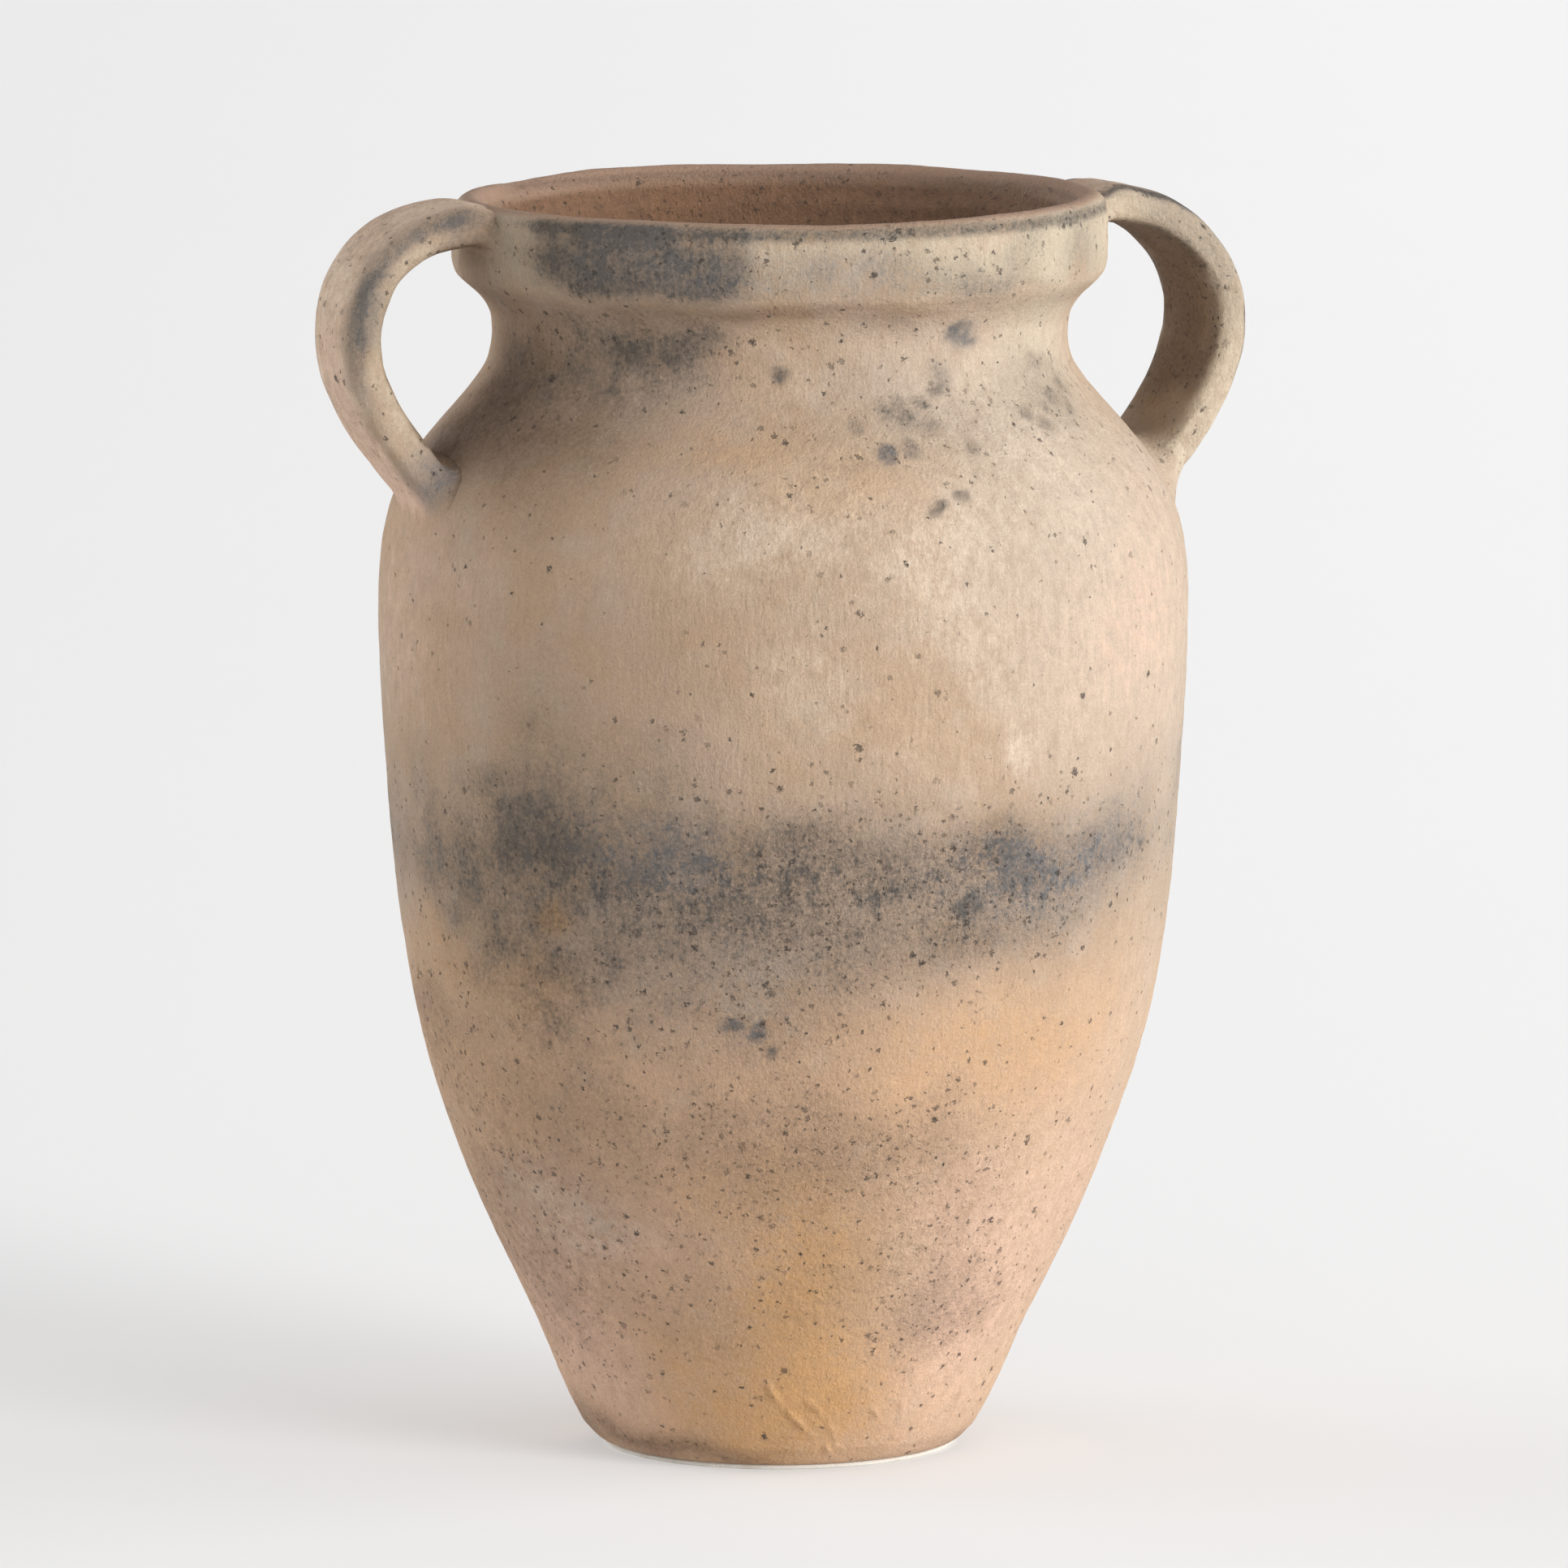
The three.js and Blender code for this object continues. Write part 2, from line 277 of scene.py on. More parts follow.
def cylinder(angle, height, radius):
    """Points from their angle round the axis, their height and their distance from the axis."""
    return np.stack([radius * np.cos(angle), radius * np.sin(angle), height], -1)


def outer_relief(angle, height):
    """How far the outside stands out from the turned section."""
    base = outer_radius(height)
    p = cylinder(angle, height, base)
    out = 0.8 * fractal(p * [1, 1, 0.8], 110, SEED)  # broad unevenness
    out = out + 0.28 * fractal(p, 26, SEED + 5)
    out = out + 0.10 * noise(p * [0.15, 0.15, 1], 3.4, SEED + 9)  # throwing lines
    out = out + 0.09 * fractal(p * [1, 1, 0.45], 4.6, SEED + 11, 2)  # small lumps, taller than wide
    for facing, z, width, tall, rise in DENTS:
        turn = (angle - facing_to_angle(facing) + math.pi) % (2 * math.pi) - math.pi
        across = turn * base / width
        out = out + rise * np.exp(-(across**2) - ((height - z) / tall) ** 2)
    broken = smoothstep(noise(p, 5.0, SEED + 20), -0.75, 0.1)
    for stroke, strength in STROKES:
        near = np.full(np.shape(p)[:-1], 1e9)
        for (fa, za), (fb, zb) in zip(stroke, stroke[1:]):
            middle = facing_to_angle((fa + fb) / 2)
            turn = (angle - middle + math.pi) % (2 * math.pi) - math.pi
            half = math.radians(fb - fa) / 2
            x, y = turn * base, height - (za + zb) / 2
            ex, ey = half * base, (zb - za) / 2
            share = np.clip((x * ex + y * ey) / (ex * ex + ey * ey + 1e-9), -1, 1)
            near = np.minimum(near, np.hypot(x - share * ex, y - share * ey))
        near = near + 0.9 * noise(p, 4.0, SEED + 21)
        bead = np.exp(-np.maximum(near, 0) ** 2 / STROKE_SPREAD)
        out = out + STROKE_RISE * strength * broken * bead
    collar = smoothstep(height, COLLAR_SEAM + 6, COLLAR_SEAM + 22)
    return out + collar * 0.45 * fractal(p, 34, SEED + 30)


def inner_relief(angle, height, radius):
    """How far the inside stands in from the turned section, with the potter's finger rings."""
    p = cylinder(angle, height, radius)
    rings_in = 0.45 * np.sin(height * 2 * math.pi / 9.5 + 1.5 * noise(p, 60, SEED + 41))
    return 0.7 * fractal(p, 80, SEED + 40) + rings_in * smoothstep(height, 20, 60)


def lean(points):
    """The pot isn't quite straight: it drifts a little to the side as it goes up."""
    aside = np.interp(points[..., 2], *LEAN)
    moved = points + aside[..., None] * RIGHT
    lip = smoothstep(points[..., 2], COLLAR_SEAM, CREST)
    moved[..., 2] += lip * (0.9 * noise(points * [1, 1, 0], 95, SEED + 50) - 0.4)
    return moved


COLUMNS = 480
angles = np.arange(COLUMNS) * 2 * math.pi / COLUMNS
grid_r = np.repeat(profile[:, :1], COLUMNS, axis=1)
grid_z = np.repeat(profile[:, 1:], COLUMNS, axis=1)
grid_a = np.repeat(angles[None], len(rows), axis=0)
tangent = unit(np.gradient(profile, rows, axis=0))
outside = outer_relief(grid_a, grid_z) * smoothstep(grid_r, 60, 78)
inside = -inner_relief(grid_a, grid_z, grid_r) * smoothstep(grid_r, 20, 70)
lip_share = smoothstep(rows, lip_at["outer_side"], lip_at["inner_side"])[:, None]
relief = outside * (1 - lip_share) + inside * lip_share
normal_r, normal_z = tangent[:, 1:], -tangent[:, :1]
shift_r = relief * np.where(lip_share < 1, normal_r, np.sign(normal_r))  # level on the inside
shift_z = relief * normal_z * smoothstep(profile[:, 1:], COLLAR_SEAM, CREST - 10)
wall = lean(cylinder(grid_a, grid_z + shift_z, grid_r + shift_r))


def grid_normals(points):
    """Normals of a grid that closes round its columns."""
    down = np.gradient(points, axis=0)
    round_ = np.roll(points, -1, axis=1) - np.roll(points, 1, axis=1)
    return unit(np.cross(round_, down))


wall_normals = grid_normals(wall)


# ---- Marks of fire and wear, with painted sheen and painted shade ----

# The charcoal band: (facing degrees, density, height of its middle, reach upwards, reach downwards)
BAND = np.array([
    (-180, 0.55, 250, 36, 44), (-146, 0.45, 244, 34, 46), (-120, 0.6, 252, 34, 40), (-98, 0.38, 254, 30, 34),
    (-75, 0.36, 250, 30, 22), (-65, 0.44, 250, 34, 27), (-50, 0.66, 249, 36, 52), (-36, 0.9, 257, 44, 74),
    (-24, 0.68, 258, 40, 66), (-12, 0.52, 256, 36, 64), (0, 0.48, 252, 34, 58), (12, 0.5, 248, 34, 48),
    (24, 0.46, 246, 22, 36), (33, 0.58, 250, 18, 32), (44, 0.5, 250, 27, 30), (56, 0.52, 256, 24, 28),
    (68, 0.28, 260, 22, 22), (80, 0.24, 272, 24, 24), (100, 0.4, 262, 34, 36), (135, 0.8, 248, 40, 54),
    (160, 0.55, 252, 34, 40), (180, 0.55, 250, 36, 44),
])
BAND_FADE = 1.4  # how steeply the band fades; 2 would be a bell curve
SMALL_SPOT = 4.0  # spots narrower than this have firm edges
COLLAR_MARKS = 477  # marks centred above this height stay on the collar
NECK_MARKS = 430  # marks centred between this height and that stay off the collar
MOST_SOOT = 0.86

# Soft patches: (facing degrees, height, half width in degrees, half height, strength)
MARKS = {
    "soot": [
        (-15, 268, 5, 9, 0.3), (-11, 259, 2.4, 3.4, 0.7), (31, 254, 5.5, 7, 0.4), (28, 238, 2.5, 4, 0.5),
        (34, 246, 3, 6, 0.35), (-7, 194, 2.0, 2.8, 0.75), (-3, 190, 1.5, 3.4, 0.5), (-1, 182, 1.2, 2.2, 0.8),
        (-16, 66, 12, 26, 0.2), (8, 122, 12, 12, 0.05), (79, 286, 8, 14, 0.2), (-33, 282, 12, 12, 0.12),
        (-38, 462, 10, 9, 0.35), (-33, 453, 9, 9, 0.5), (-20, 460, 8, 8, 0.6), (-12, 461, 5, 5, 0.4),
        (-42, 441, 12, 12, 0.3), (-30, 434, 12, 12, 0.25), (-20, 444, 8, 8, 0.25), (38, 462, 3.6, 6, 0.85),
        (-62, 451, 4, 5, 0.6), (-52, 462, 5, 5, 0.2), (18, 418, 1.9, 3.6, 0.9), (22.5, 419, 1.9, 4.2, 0.9),
        (24, 397, 1.9, 3, 0.75), (29, 399, 1.5, 2.6, 0.6), (22, 432, 3, 5, 0.4), (27, 428, 3, 4, 0.3),
        (50, 427, 1.7, 3, 0.45), (53.5, 422, 2, 3.4, 0.5), (57, 429, 1.5, 2.6, 0.4), (61, 432, 1.8, 3.2, 0.5),
        (64, 427, 1.5, 2.6, 0.4), (66, 435, 1.8, 3, 0.4), (60, 446, 3, 4, 0.35), (32, 447, 3, 7, 0.4),
        (27, 436, 1.6, 2.6, 0.6), (30, 441, 1.5, 2.4, 0.5), (14, 428, 1.6, 2.6, 0.45),
        (34, 420, 1.4, 2.4, 0.5),
        (22, 465, 8, 5, 0.3), (-1, 445, 1.8, 3.5, 0.9), (10, 440, 14, 12, 0.15),
        (-44, 492, 12, 16, 0.55), (-32, 494, 12, 18, 0.5), (-20, 492, 11, 16, 0.64),
        (-11, 495, 6, 13, 0.45), (-22, 481, 12, 8, 0.3),
        (6, 488, 10, 12, 0.26), (18, 486, 10, 10, 0.28), (30, 492, 9, 10, 0.22), (40, 484, 7, 9, 0.32),
        (47, 500, 5, 6, 0.3), (64, 492, 6, 12, 0.3), (72, 488, 6, 14, 0.35), (-62, 498, 8, 10, 0.2),
        (138, 262, 5, 8, 0.4), (152, 240, 4, 7, 0.4), (-124, 256, 6, 8, 0.35), (150, 196, 18, 20, 0.2),
        (160, 452, 16, 12, 0.7), (-140, 446, 16, 12, 0.6), (196, 458, 10, 9, 0.7),
        (120, 440, 12, 10, 0.4), (110, 492, 14, 16, 0.6), (150, 492, 18, 16, 0.8), (-150, 492, 16, 14, 0.5),
        (-112, 492, 16, 16, 0.7), (170, 410, 3, 4, 0.8), (178, 404, 2.4, 4, 0.8), (128, 150, 14, 12, 0.35),
    ],
    "blue": [
        (46, 252, 20, 30, 0.9), (-76, 256, 14, 26, 0.7), (-8, 196, 14, 24, 0.5), (-14, 262, 12, 18, 0.55),
        (18, 418, 6, 8, 0.6), (38, 462, 8, 12, 0.5), (12, 488, 24, 14, 0.7), (-24, 494, 12, 14, 0.3),
        (80, 290, 12, 20, 0.8),
        (150, 250, 34, 26, 0.6), (-110, 250, 20, 26, 0.6),
    ],
    "ochre": [
        (-6, 18, 24, 26, 0.6), (4, 46, 20, 30, 0.55), (5, 80, 14, 28, 0.6), (18, 26, 14, 22, 0.45),
        (8, 110, 14, 24, 0.35), (-2, 122, 16, 20, 0.2), (-22, 44, 16, 30, 0.3), (28, 178, 18, 24, 0.25),
        (-34.5, 230, 3.4, 7, 0.8), (-41, 204, 9, 12, 0.4), (-58, 210, 13, 20, 0.35), (-50, 165, 20, 26, 0.2),
        (14, 408, 12, 16, 0.28), (-12, 418, 12, 10, 0.25), (46, 176, 18, 26, 0.22), (-20, 330, 26, 30, 0.15),
        (160, 60, 20, 50, 0.7), (-150, 50, 18, 40, 0.4), (110, 170, 26, 40, 0.3), (-110, 380, 30, 30, 0.25),
    ],
    "rose": [
        (-62, 60, 22, 46, 0.6), (-38, 104, 18, 24, 0.55), (-44, 40, 16, 28, 0.4), (42, 60, 18, 48, 0.6),
        (30, 116, 14, 22, 0.3), (62, 90, 20, 60, 0.35), (-70, 345, 18, 40, 0.3), (66, 360, 20, 40, 0.3),
        (58, 320, 16, 40, 0.25), (185, 200, 30, 50, 0.5), (110, 110, 26, 40, 0.4), (-130, 120, 26, 50, 0.4),
    ],
    "bloom": [
        (27, 386, 7, 16, 0.34), (25, 356, 7, 18, 0.3), (18, 366, 7, 16, 0.2), (20, 90, 10, 30, 0.15),
        (33, 330, 5, 16, 0.14),
        (35.5, 300, 2.2, 13, 0.5), (-2, 386, 9, 14, 0.28), (4, 332, 9, 18, 0.28), (-50, 112, 9, 12, 0.3),
        (-36, 108, 8, 10, 0.34), (-44, 92, 8, 10, 0.25), (5, 440, 6, 8, 0.3), (46, 408, 10, 20, 0.25),
        (20, 300, 12, 14, 0.1), (-2, 208, 7, 16, 0.3), (41, 236, 10, 10, 0.25), (140, 330, 16, 24, 0.5),
        (200, 120, 14, 20, 0.4), (-150, 380, 14, 20, 0.4), (118, 208, 12, 14, 0.3),
        (8, 393, 13, 28, 0.22), (-6, 376, 16, 30, 0.12), (-4, 490, 5, 12, 0.35), (8, 494, 8, 10, 0.25),
    ],
    # Painted sheen: paler patches, mostly on the side that the strongest sun lights
    "painted_sheen": [
        (45, 400, 26, 60, 0.6), (72, 340, 24, 90, 0.7), (52, 320, 22, 60, 0.5), (78, 180, 18, 70, 0.4),
        (-78, 330, 14, 50, 0.3), (58, 80, 34, 80, 0.3),
        (60, 452, 24, 24, 0.5), (24, 440, 18, 24, 0.4), (120, 360, 40, 60, 0.4),
        (-150, 330, 40, 60, 0.3),
    ],
    # Darker brown patches, partly the clay's own colour and partly painted shade: under the left handle, in
    # the hollow below the collar and low on the foot
    "umber": [
        (-68, 436, 16, 26, 0.75), (-48, 420, 16, 30, 0.5), (-76, 408, 14, 16, 0.45), (-34, 412, 14, 20, 0.28),
        (-20, 348, 30, 30, 0.12), (-44, 466, 20, 9, 0.12), (-10, 472, 26, 5, 0.45), (14, 473, 20, 4, 0.25),
        (-60, 476, 14, 8, 0.08), (-44, 7, 30, 9, 0.7), (-12, 6, 12, 7, 0.3), (60, 5, 26, 6, 0.35),
        (-82, 10, 14, 9, 0.6),
        (-52, 186, 24, 8, 0.12), (150, 470, 60, 7, 0.4), (-120, 468, 40, 8, 0.4), (150, 8, 60, 9, 0.5),
    ],
    "cream": [
        (56, 492, 7, 18, 0.95), (66, 500, 12, 12, 0.6), (48, 500, 6, 9, 0.5), (36, 496, 12, 14, 0.45),
        (20, 496, 16, 12, 0.35), (-5, 500, 12, 8, 0.2), (-52, 488, 10, 16, 0.3), (80, 490, 10, 20, 0.6),
        (52, 474, 10, 7, 0.4), (64, 462, 12, 14, 0.5), (58, 440, 14, 20, 0.3), (-58, 500, 10, 8, 0.3),
        (120, 494, 30, 16, 0.5), (190, 494, 20, 16, 0.6), (-130, 496, 18, 12, 0.4),
    ],
    "grit": [
        (-40, 250, 26, 30, 0.4), (-6, 246, 22, 34, 0.75), (24, 244, 22, 26, 0.95), (46, 250, 18, 22, 0.6),
        (0, 196, 18, 24, 0.5), (-32, 214, 20, 22, 0.4), (6, 146, 20, 18, 0.65), (40, 64, 18, 26, 0.45),
        (-64, 96, 22, 60, 0.6), (-70, 176, 16, 20, 0.5), (-60, 440, 22, 20, 0.5), (-24, 456, 20, 16, 0.5),
        (26, 430, 26, 26, 0.3), (-20, 490, 30, 20, 0.4), (40, 488, 30, 18, 0.35), (60, 434, 14, 20, 0.4),
        (-30, 150, 30, 30, 0.3), (150, 240, 50, 34, 0.7), (-120, 250, 40, 30, 0.6), (120, 70, 40, 50, 0.5),
        (-150, 100, 40, 60, 0.5), (160, 450, 40, 24, 0.5), (-20, 100, 50, 60, 0.35), (-26, 494, 20, 16, 0.5),
        (30, 110, 24, 50, 0.25),
    ],
}


def facing_of(points):
    """Degrees round the pot from the side that faces the camera."""
    return np.degrees(np.arctan2(points @ RIGHT, points @ TOWARDS))


def wall_marks(points):
    """Strength of every mark at points of the pot's outside."""
    shift = 4.5 * noise(points, 34, SEED + 90) + 2.2 * noise(points, 13, SEED + 91)
    lift = 8 * noise(points, 38, SEED + 92) + 3.5 * noise(points, 13, SEED + 93)
    facing, height = facing_of(points) + shift, points[..., 2] + lift
    ragged = 0.55 * fractal(points, 4.2, SEED + 101, 2)
    upper = smoothstep(points[..., 2], 470, 482)
    found = {}
    for key, spots in MARKS.items():
        total = np.zeros(np.shape(facing))
        for centre, level, across, tall, strength in spots:
            small = across < SMALL_SPOT
            drift = 0.7 if small else 0.0  # small spots keep their place and a firm edge
            turn = (facing - drift * shift - centre + 180) % 360 - 180
            off = (turn / across) ** 2 + ((height - drift * lift - level) / tall) ** 2
            off = np.maximum(off + ragged, 0) if small else off
            part = 1.0
            if level > COLLAR_MARKS:
                part = upper
            elif level > NECK_MARKS:
                part = 1 - upper
            total = total + part * strength * np.exp(-(off ** (1.8 if small else 1.0)))
        found[key] = total
    turn = (facing + 180) % 360 - 180
    density, middle, above, below = (np.interp(turn, BAND[:, 0], BAND[:, k]) for k in range(1, 5))
    reach = np.where(height > middle, above, below)
    density = density * (1 + 0.28 * fractal(points, 30, SEED + 98, 2))
    found["soot"] = found["soot"] + density * np.exp(-(np.abs(height - middle) / reach) ** BAND_FADE)
    dusty = np.clip(0.3 + 0.7 * fractal(points, 24, SEED + 99, 2), 0, 1)
    found["soot"] = found["soot"] * (1 + 0.3 * fractal(points, 12, SEED + 100, 2))
    found["soot"] = found["soot"] + 0.16 * dusty * (0.2 + found["grit"])
    found["soot"] = np.minimum(found["soot"], MOST_SOOT)
    found["grit"] = 0.08 + found["grit"]
    found["cream"] = found["cream"] + 0.16 * upper
    return found


# ---- Meshes ----

def make_piece(name, points, faces, normals=None, looks=None):
    """A mesh object; looks are numbers for each point that its material reads."""
    mesh = bpy.data.meshes.new(name)
    mesh.from_pydata((np.asarray(points) * MM).tolist(), [], faces)
    mesh.update()
    for key, values in (looks or {}).items():
        attribute = mesh.attributes.new(key, "FLOAT", "POINT")
        attribute.data.foreach_set("value", np.asarray(values, np.float32))
    mesh.shade_smooth()
    if normals is not None:
        mesh.normals_split_custom_set_from_vertices(np.asarray(normals).tolist())
    piece = bpy.data.objects.new(name, mesh)
    bpy.context.scene.collection.objects.link(piece)
    return piece


def strip_faces(top, bottom, columns):
    """Quads between two rows of a grid that closes round its columns."""
    c = np.arange(columns)
    d = (c + 1) % columns
    top, bottom = top * columns, bottom * columns
    return np.stack([top + c, top + d, bottom + d, bottom + c], 1)


def row_points(row, columns):
    """Numbers of the points in one row of a grid."""
    return list(range(row * columns, (row + 1) * columns))


def fan(ring, centre, flip):
    """Triangles from a ring of points to one in its middle."""
    pairs = zip(ring, ring[1:] + ring[:1])
    return [[a, b, centre] if flip else [b, a, centre] for a, b in pairs]


def wall_piece(name, spans, closed=True):
    """A piece of the wall from spans of its rows; one that isn't a closed ring ends in two fans."""
    picked = np.concatenate([np.arange(a, b + 1) for a, b in spans])
    points = wall[picked].reshape(-1, 3)
    normals = wall_normals[picked].reshape(-1, 3)
    count = len(picked)
    pairs = [(i, i + 1) for i in range(count - 1)] + ([(count - 1, 0)] if closed else [])
    faces = np.concatenate([strip_faces(a, b, COLUMNS) for a, b in pairs]).tolist()
    looks = {key: values[picked].ravel() for key, values in wall_looks.items()}
    if not closed:
        for row, flip in ((0, False), (count - 1, True)):
            ring = row_points(row, COLUMNS)
            faces += fan(ring, len(points), flip)
            points = np.vstack([points, points[ring].mean(0)])
            normals = np.vstack([normals, [0, 0, 1 if flip else -1]])
            looks = {key: np.append(values, values[ring].mean()) for key, values in looks.items()}
    return make_piece(name, points, faces, normals, looks)


wall_looks = wall_marks(wall)
crest_in = smoothstep(rows, lip_at["outer_edge"], lip_at["crest"])[:, None]
inner_share = smoothstep(rows, lip_at["inner_edge"], lip_at["mouth"])[:, None]
wall_looks = {key: values * (1 - crest_in) for key, values in wall_looks.items()}
wall_looks["crest"] = (crest_in - inner_share) * np.ones(wall.shape[:2])
wall_looks["inside"] = inner_share * np.ones(wall.shape[:2])
wall_looks["grit"] = wall_looks["grit"] + 0.6 * inner_share
rim_line = np.exp(-((wall[..., 2] - CREST + 4.5) / 2.2) ** 2) * (1 - inner_share)
rim_line *= smoothstep(np.abs(facing_of(wall) + 82), 22, 40)  # none beside the left handle
wall_looks["soot"] = wall_looks["soot"] + 0.55 * rim_line
wall_looks["grit"] = wall_looks["grit"] + 0.5 * rim_line

seam = {name: row_at[index] for name, index in marks.items()}
last = len(rows) - 1
foot_spans = [(1, seam["foot_out"]), (seam["foot_in"], last - 1)]
pieces = {"foot_slab": wall_piece("foot", foot_spans, closed=False)}
for node, name, low, high in (
    ("lower_wall", "wall_lower", "foot", "belly"),
    ("upper_wall", "wall_upper", "belly", "neck"),
    ("neck", "neck_wall", "neck", "collar"),
):
    spans = [(seam[low + "_out"], seam[high + "_out"]), (seam[high + "_in"], seam[low + "_in"])]
    pieces[node] = wall_piece(name, spans)
pieces["rim_collar"] = wall_piece("collar", [(seam["collar_out"], seam["collar_in"])])


# ---- Handles ----

# Each line runs from the collar to the shoulder, in (distance from the axis, height)
HANDLES = {
    "left": dict(turn=180, twist=0, width=50, thickness=17, line=[
        (112, 498.6), (140, 500.2), (158.2, 495.4), (173.3, 482.2), (181.2, 463),
        (180.9, 445.9), (174.1, 428.4), (162.5, 410.1), (147.1, 390.8), (133, 373)]),
    "right": dict(turn=2, twist=6, width=53, thickness=15, line=[
        (112, 499.6), (140, 499.4), (157.9, 494.6), (174.1, 482.9), (185.4, 464.2),
        (186.8, 445), (180.1, 425.2), (167.7, 406.2), (151.2, 387.5), (136, 370)]),
}
SQUARENESS = 3.9
STRAP_COLUMNS = 112
STRAP_ROWS = 190
FINE_POINTS = 1200  # points of a strap's centre line
HALVINGS = 26  # of the search for where a strap meets the pot
ROOT_INSET = 124.5  # the strap starts this far from the axis, inside the lip
LIP_DEPTH = 9  # the lip's outer side curves in from this far below the crest
TURNS = np.arange(STRAP_COLUMNS) / STRAP_COLUMNS  # once round a strap's section
SINE = np.sin(TURNS * 2 * math.pi)  # 1 on a strap's outer face and -1 on its finger side


class Strap:
    """One strap handle's surface, before the pot's lean is added."""

    def __init__(self, turn, twist, width, thickness, line, seed):
        line = np.array(line, float)
        self.line = curve(line, np.linspace(0, distances(line)[-1], FINE_POINTS))
        self.at = distances(self.line)
        self.length = self.at[-1]
        self.tangent = unit(np.gradient(self.line, self.at, axis=0))
        self.turn, self.twist = math.radians(turn), math.radians(twist)
        self.width, self.thickness, self.seed = width, thickness, seed
        first = slice(FINE_POINTS // 4)  # the part in which the line only goes outwards
        self.start = float(np.interp(ROOT_INSET, self.line[first, 0], self.at[first]))
        self.stop = self.length - 2

    def share(self, t):
        """How far along the strap a distance t is, from 0 at its first row to 1 at its last."""
        return (t - self.start) / (self.stop - self.start)

    def points(self, t, turn, grow=0.0, relief=1.0):
        """t is the distance along the centre line; turn goes once around the section."""
        t, turn = np.broadcast_arrays(np.asarray(t, float), np.asarray(turn, float))
        cx, cz = (np.interp(t, self.at, self.line[:, k]) for k in (0, 1))
        tx, tz = (np.interp(t, self.at, self.tangent[:, k]) for k in (0, 1))
        size = np.hypot(tx, tz)
        tx, tz = tx / size, tz / size
        angle = turn * 2 * math.pi
        c, n = np.cos(angle), np.sin(angle)
        reach = (np.abs(c) ** SQUARENESS + np.abs(n) ** SQUARENESS) ** (-1 / SQUARENESS)
        raw = np.stack([cx + 60 * c, self.seed * 50 + 30 * n, cz + 25 * c], -1)
        bumps = 0.45 * fractal(raw, 34, SEED + 60) + 0.16 * fractal(raw, 9, SEED + 64, 2)
        grow = grow + relief * bumps
        dome = 0.9 * (1 - c * c) * np.sign(n) * (n > 0)  # the outer face is a little domed
        wide = c * reach * (self.width / 2 + grow)
        thick = n * reach * (self.thickness / 2 + grow) + dome * relief
        p = np.stack([cx - tz * thick, wide, cz + tx * thick], -1)
        # At the collar the strap's top dips to run out along the lip instead of standing on it.
        dip = 1 - smoothstep(t, self.start, self.start + 15)
        p[..., 2] -= 2.3 * dip * smoothstep(p[..., 2], CREST - LIP_DEPTH, CREST - 2)
        root = np.array([COLLAR_RADIUS, 0, 0])
        return rotate(rotate(p - root, self.twist) + root, self.turn)


def rotate(p, angle):
    """Points turned round the upright axis."""
    c, s = math.cos(angle), math.sin(angle)
    return np.stack([p[..., 0] * c - p[..., 1] * s, p[..., 0] * s + p[..., 1] * c, p[..., 2]], -1)


def stand_off(p):
    """How far points stand out from the pot's outside, measured level."""
    angle = np.arctan2(p[..., 1], p[..., 0])
    level = np.minimum(p[..., 2], CREST - LIP_DEPTH)
    return np.hypot(p[..., 0], p[..., 1]) - outer_radius(level) - outer_relief(angle, level)


def pot_normal(p):
    """Which way the pot's smooth outside faces beside points."""
    level = np.clip(p[..., 2], 20, CREST - 10)
    slope = (outer_radius(level + 1.5) - outer_radius(level - 1.5)) / 3
    flat = np.hypot(p[..., 0], p[..., 1])
    n = np.stack([p[..., 0] / flat, p[..., 1] / flat, -slope], -1)
    return unit(n)


def landing(strap, turn, end):
    """How far along a strap its surface meets the pot, towards its start (0) or its end (1)."""
    clear = np.full(turn.shape, strap.length / 2)
    buried = np.full(turn.shape, strap.length * end)
    for _ in range(HALVINGS):
        middle = (clear + buried) / 2
        out = stand_off(strap.points(middle, turn)) > 0
        clear = np.where(out, middle, clear)
        buried = np.where(out, buried, middle)
    return clear


